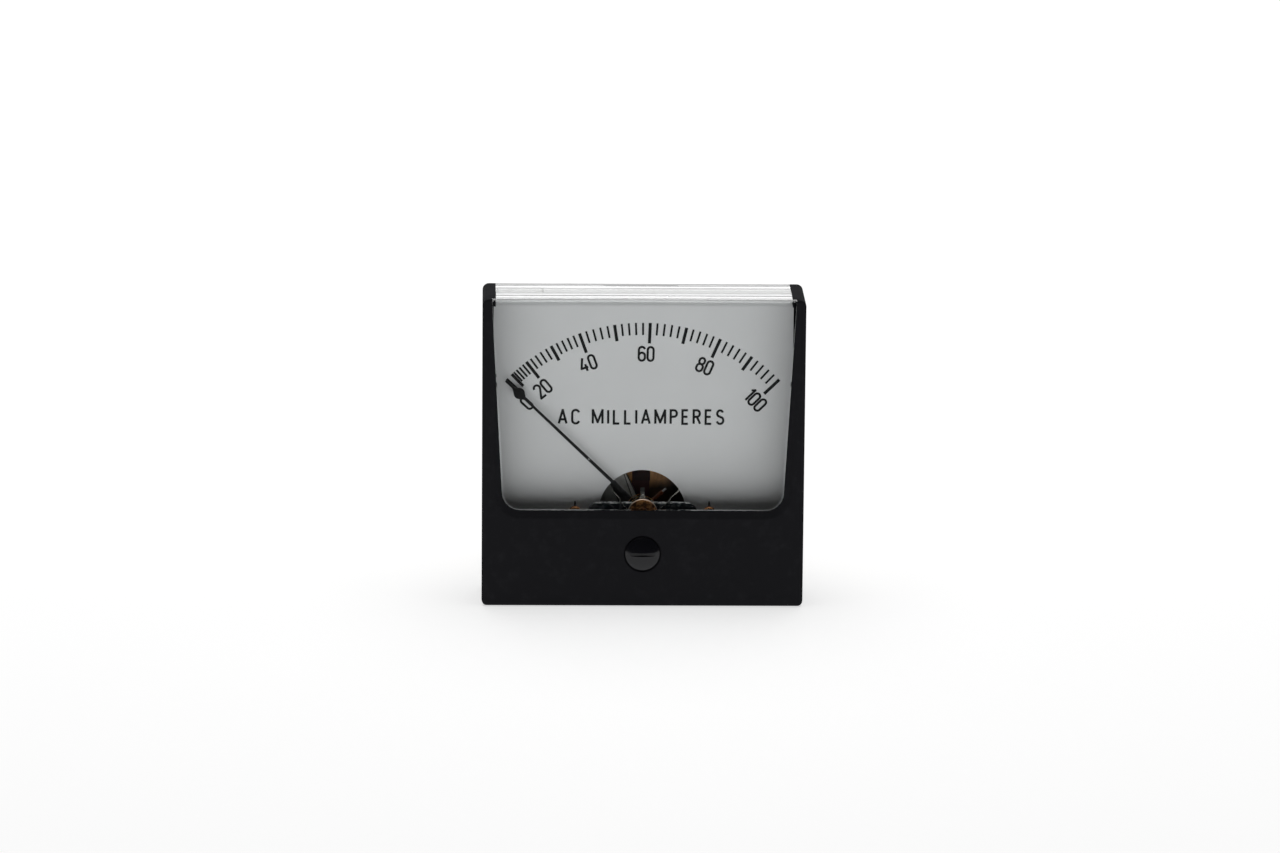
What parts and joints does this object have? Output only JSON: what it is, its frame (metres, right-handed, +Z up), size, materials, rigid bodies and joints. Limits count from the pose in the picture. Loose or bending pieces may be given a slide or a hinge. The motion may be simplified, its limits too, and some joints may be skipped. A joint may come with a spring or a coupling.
{
  "type": "analog panel meter",
  "caption": "Rectangular panel meter with a clear front, a dial with a pointer, a zero adjuster, a round barrel behind, and rear terminals and mounting studs.",
  "frame": {"origin": "on the barrel's axis in the plane of the panel's front face, which is the rear of the cover", "axes": "+X to the right of the dial, +Y away from the reader along the barrel, +Z up"},
  "size_m": [0.0804, 0.0627, 0.078],
  "materials": {
    "bezel_black": "fine matt moulding",
    "window_clear": "clear moulded plastic, polished",
    "case_black": "black phenolic moulding",
    "dial_white": "satin white enamel",
    "bronze": "turned, tarnished",
    "brass": "turned",
    "steel": "bright zinc",
    "knob_black": "glossy",
    "base_black": "phenolic moulding",
    "aluminium": "satin sheet",
    "bridge_slate": "dark glossy",
    "ruby": "polished jewel",
    "pointer_black": "black lacquer",
    "coil_amber": "varnished amber",
    "winding_copper": "enamelled copper wire",
    "tape_maroon": "varnished cloth tape",
    "iron": "dull soft iron",
    "spring_bronze": "phosphor bronze",
    "lead_copper": "tinned copper"
  },
  "bodies": {
    "housing": {"bezel": "bezel_black", "window": "window_clear", "case": "case_black", "dial_plate": "dial_white", "dial_screws": "bronze", "movement_base": "base_black", "base_screws": "steel", "damping_cover": "aluminium", "damping_cover_screws": "steel", "front_bridge": "bridge_slate", "bridge_posts": "brass", "bridge_screws": "steel", "front_jewel_screw": "brass", "front_jewel": "ruby", "jewel_lock_nut": "bronze", "stop_wires": "steel", "coil_bobbin": "coil_amber", "coil_winding": "winding_copper", "coil_strap": "tape_maroon", "fixed_vane": "iron", "rear_posts": "brass", "rear_bridge": "aluminium", "rear_bridge_screws": "steel", "rear_jewel_screw": "brass", "rear_jewel": "ruby", "rear_lock_nut": "brass", "terminal_studs": "brass", "terminal_inner_nuts": "brass", "terminal_washers": "brass", "terminal_nuts": "brass", "mounting_studs": "steel", "cover_screws": "steel", "coil_leads": "lead_copper"},
    "zero_adjuster": {"adjuster_screw": "knob_black", "adjuster_clip": "steel"},
    "zero_lever": {"zero_lever": "aluminium"},
    "pointer_group": {"hairspring": "spring_bronze", "hairspring_collet": "brass", "pointer": "pointer_black", "pointer_shaft": "steel", "balance_cross": "steel", "balance_weights": "winding_copper", "moving_vane": "iron", "damping_vane": "aluminium"}
  },
  "joints": [
    {"name": "zero_adjust", "type": "hinge", "parent": "housing", "child": "zero_adjuster", "pos_m": [0, -0.021, -0.0256], "axis": [0, 1, 0], "range_deg": [-30, 30]},
    {"name": "lever_turn", "type": "hinge", "parent": "housing", "child": "zero_lever", "pos_m": [0, -0.0171, -0.0158], "axis": [0, 1, 0], "range_deg": [-4.4, 4.4]},
    {"name": "pointer_swing", "type": "hinge", "parent": "zero_lever", "child": "pointer_group", "pos_m": [0, -0.0137, -0.0158], "axis": [0, 1, 0], "range_deg": [0, 92.3], "stiffness_Nm_per_rad": 0.000006, "deforming": ["hairspring"]}
  ],
  "couplings": [
    {"joint": "lever_turn", "follows": "zero_adjust", "ratio": -0.146}
  ]
}
